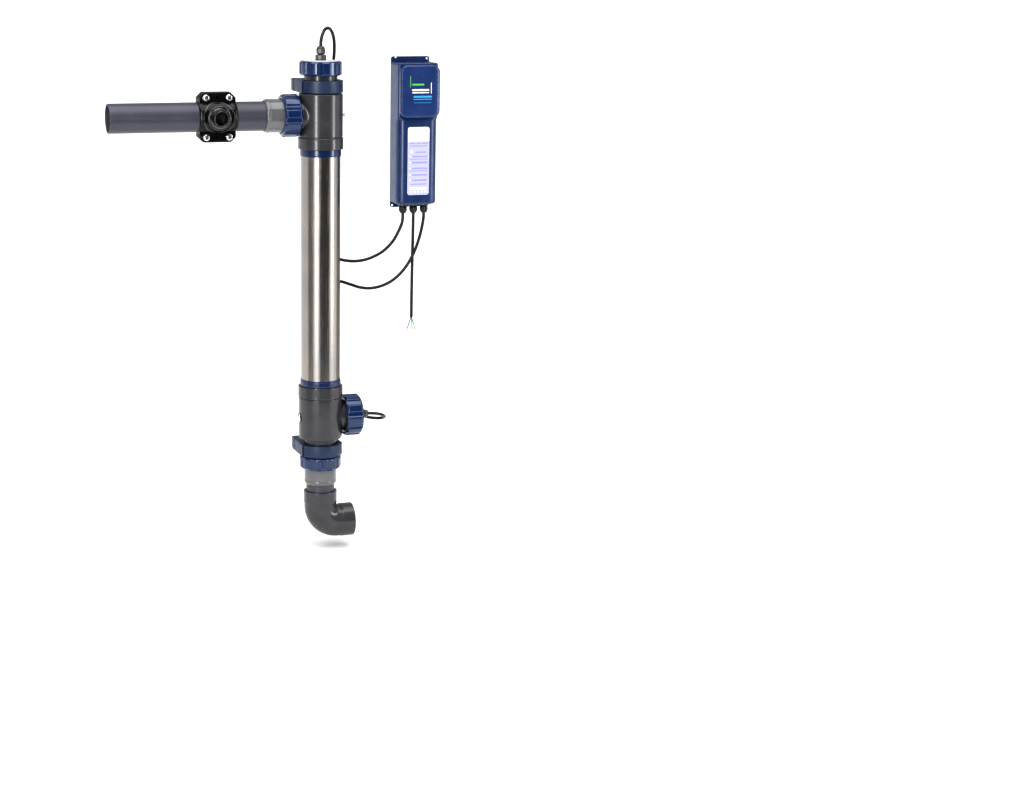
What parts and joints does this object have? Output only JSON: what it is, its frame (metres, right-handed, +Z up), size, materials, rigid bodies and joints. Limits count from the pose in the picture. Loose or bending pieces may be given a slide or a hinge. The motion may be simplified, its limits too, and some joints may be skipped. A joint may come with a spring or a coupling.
{
  "type": "salt chlorine generator",
  "caption": "Wall-hung salt chlorine generator: upright steel flow cell with blue unions and clips, outlet pipe with tapping saddle, and a power box with link leads.",
  "frame": {"origin": "the middle of the upper pipe clip's back face, on the wall", "axes": "the wall is the plane Y = 0 and everything stands in front of it, towards -Y; +Z is up along the cell, +X points along the wall from the cell to the power box"},
  "size_m": [0.5855, 0.108, 0.8995],
  "materials": {
    "brushed_steel": "brushed stainless steel",
    "grey_pvc": "satin dark grey PVC",
    "light_pvc": "glossy light grey PVC",
    "pipe_pvc": "satin slate grey PVC pipe",
    "blue_pvc": "glossy navy blue PVC",
    "clip_blue": "matt grey-blue plastic",
    "box_blue": "satin navy enclosure plastic",
    "pale_plastic": "pale plastic",
    "dark_plastic": "dark grey nylon",
    "black_plastic": "glossy black polypropylene",
    "rubber": "black rubber",
    "titanium": "titanium sheet",
    "anode_coating": "dark oxide coating on titanium",
    "zinc_steel": "bright zinc plated steel",
    "aluminium": "extruded aluminium",
    "board_green": "green circuit board",
    "label_white": "pale printed label",
    "cable_black": "black PVC cable"
  },
  "bodies": {
    "cell_and_box": {"anode_plates": "anode_coating", "back_plate": "box_blue", "box_housing": "box_blue", "cap_o_ring": "rubber", "cathode_plates": "titanium", "cell_gland_body": "dark_plastic", "cell_lead": "cable_black", "earth_screw": "zinc_steel", "electrode_head": "pale_plastic", "heat_sink": "aluminium", "inlet_elbow": "grey_pvc", "inlet_o_ring": "rubber", "inlet_pipe": "pipe_pvc", "inlet_tailpiece": "light_pvc", "label_plate": "label_white", "left_gland_body": "dark_plastic", "lower_clip_base": "clip_blue", "lower_clip_pin": "zinc_steel", "lower_seal_ring": "blue_pvc", "lower_spacer": "pale_plastic", "lower_tee": "grey_pvc", "middle_gland_body": "dark_plastic", "outlet_o_ring": "rubber", "outlet_pipe": "pipe_pvc", "outlet_tailpiece": "light_pvc", "paddle_pin": "zinc_steel", "power_board": "board_green", "right_gland_body": "dark_plastic", "saddle_back": "black_plastic", "saddle_bolt_1": "zinc_steel", "saddle_bolt_2": "zinc_steel", "saddle_bolt_3": "zinc_steel", "saddle_bolt_4": "zinc_steel", "saddle_front": "black_plastic", "sensor_lead": "cable_black", "sensor_o_ring": "rubber", "sensor_plug": "grey_pvc", "steel_tube": "brushed_steel", "supply_lead": "cable_black", "transformer": "dark_plastic", "upper_clip_base": "clip_blue", "upper_clip_pin": "zinc_steel", "upper_seal_ring": "blue_pvc", "upper_spacer": "pale_plastic", "upper_tee": "grey_pvc"},
    "cap_nut": {"cap_nut": "blue_pvc"},
    "outlet_union_nut": {"outlet_union_nut": "blue_pvc"},
    "inlet_union_nut": {"inlet_union_nut": "blue_pvc"},
    "sensor_union_nut": {"sensor_union_nut": "blue_pvc"},
    "upper_clip_strap": {"upper_clip_strap": "clip_blue"},
    "lower_clip_strap": {"lower_clip_strap": "clip_blue"},
    "cell_gland_nut": {"cell_gland_nut": "dark_plastic"},
    "sensor_gland_nut": {"sensor_gland_nut": "dark_plastic"},
    "left_gland_nut": {"left_gland_nut": "dark_plastic"},
    "middle_gland_nut": {"middle_gland_nut": "dark_plastic"},
    "right_gland_nut": {"right_gland_nut": "dark_plastic"},
    "bleed_screw": {"bleed_screw": "dark_plastic"},
    "flow_paddle": {"flow_paddle": "pale_plastic"},
    "box_cover": {"box_cover": "box_blue", "cover_gasket": "rubber"}
  },
  "joints": [
    {"name": "cap_nut_turn", "type": "hinge", "parent": "cell_and_box", "child": "cap_nut", "pos_m": [0, -0.062, 0.033], "axis": [0, 0, 1], "continuous": true},
    {"name": "outlet_nut_turn", "type": "hinge", "parent": "cell_and_box", "child": "outlet_union_nut", "pos_m": [-0.0563, -0.062, -0.0491], "axis": [-1, 0, 0], "continuous": true},
    {"name": "inlet_nut_turn", "type": "hinge", "parent": "cell_and_box", "child": "inlet_union_nut", "pos_m": [0, -0.062, -0.6614], "axis": [0, 0, -1], "continuous": true},
    {"name": "sensor_nut_turn", "type": "hinge", "parent": "cell_and_box", "child": "sensor_union_nut", "pos_m": [0.0563, -0.062, -0.5793], "axis": [1, 0, 0], "continuous": true},
    {"name": "upper_strap_swing", "type": "hinge", "parent": "cell_and_box", "child": "upper_clip_strap", "pos_m": [0.033, -0.0715, 0], "axis": [0, 0, 1], "range_deg": [0, 80]},
    {"name": "lower_strap_swing", "type": "hinge", "parent": "cell_and_box", "child": "lower_clip_strap", "pos_m": [0.033, -0.0715, -0.637], "axis": [0, 0, 1], "range_deg": [0, 80]},
    {"name": "cell_gland_turn", "type": "hinge", "parent": "cell_and_box", "child": "cell_gland_nut", "pos_m": [0, -0.062, 0.0532], "axis": [0, 0, 1], "continuous": true},
    {"name": "sensor_gland_turn", "type": "hinge", "parent": "cell_and_box", "child": "sensor_gland_nut", "pos_m": [0.0743, -0.062, -0.5793], "axis": [1, 0, 0], "continuous": true},
    {"name": "left_gland_turn", "type": "hinge", "parent": "cell_and_box", "child": "left_gland_nut", "pos_m": [0.1615, -0.027, -0.2177], "axis": [0, 0, -1], "continuous": true},
    {"name": "middle_gland_turn", "type": "hinge", "parent": "cell_and_box", "child": "middle_gland_nut", "pos_m": [0.181, -0.027, -0.2177], "axis": [0, 0, -1], "continuous": true},
    {"name": "right_gland_turn", "type": "hinge", "parent": "cell_and_box", "child": "right_gland_nut", "pos_m": [0.2005, -0.027, -0.2177], "axis": [0, 0, -1], "continuous": true},
    {"name": "bleed_screw_turn", "type": "hinge", "parent": "cell_and_box", "child": "bleed_screw", "pos_m": [0.0389, -0.062, -0.0491], "axis": [1, 0, 0], "continuous": true},
    {"name": "paddle_swing", "type": "hinge", "parent": "cell_and_box", "child": "flow_paddle", "pos_m": [0.0225, -0.062, -0.5793], "axis": [0, 1, 0], "range_deg": [0, 25], "stiffness_Nm_per_rad": 0.002, "springref_deg": -5.73},
    {"name": "cover_lift_off", "type": "slide", "parent": "cell_and_box", "child": "box_cover", "axis": [0, -1, 0], "range_m": [0, 0.05]}
  ]
}
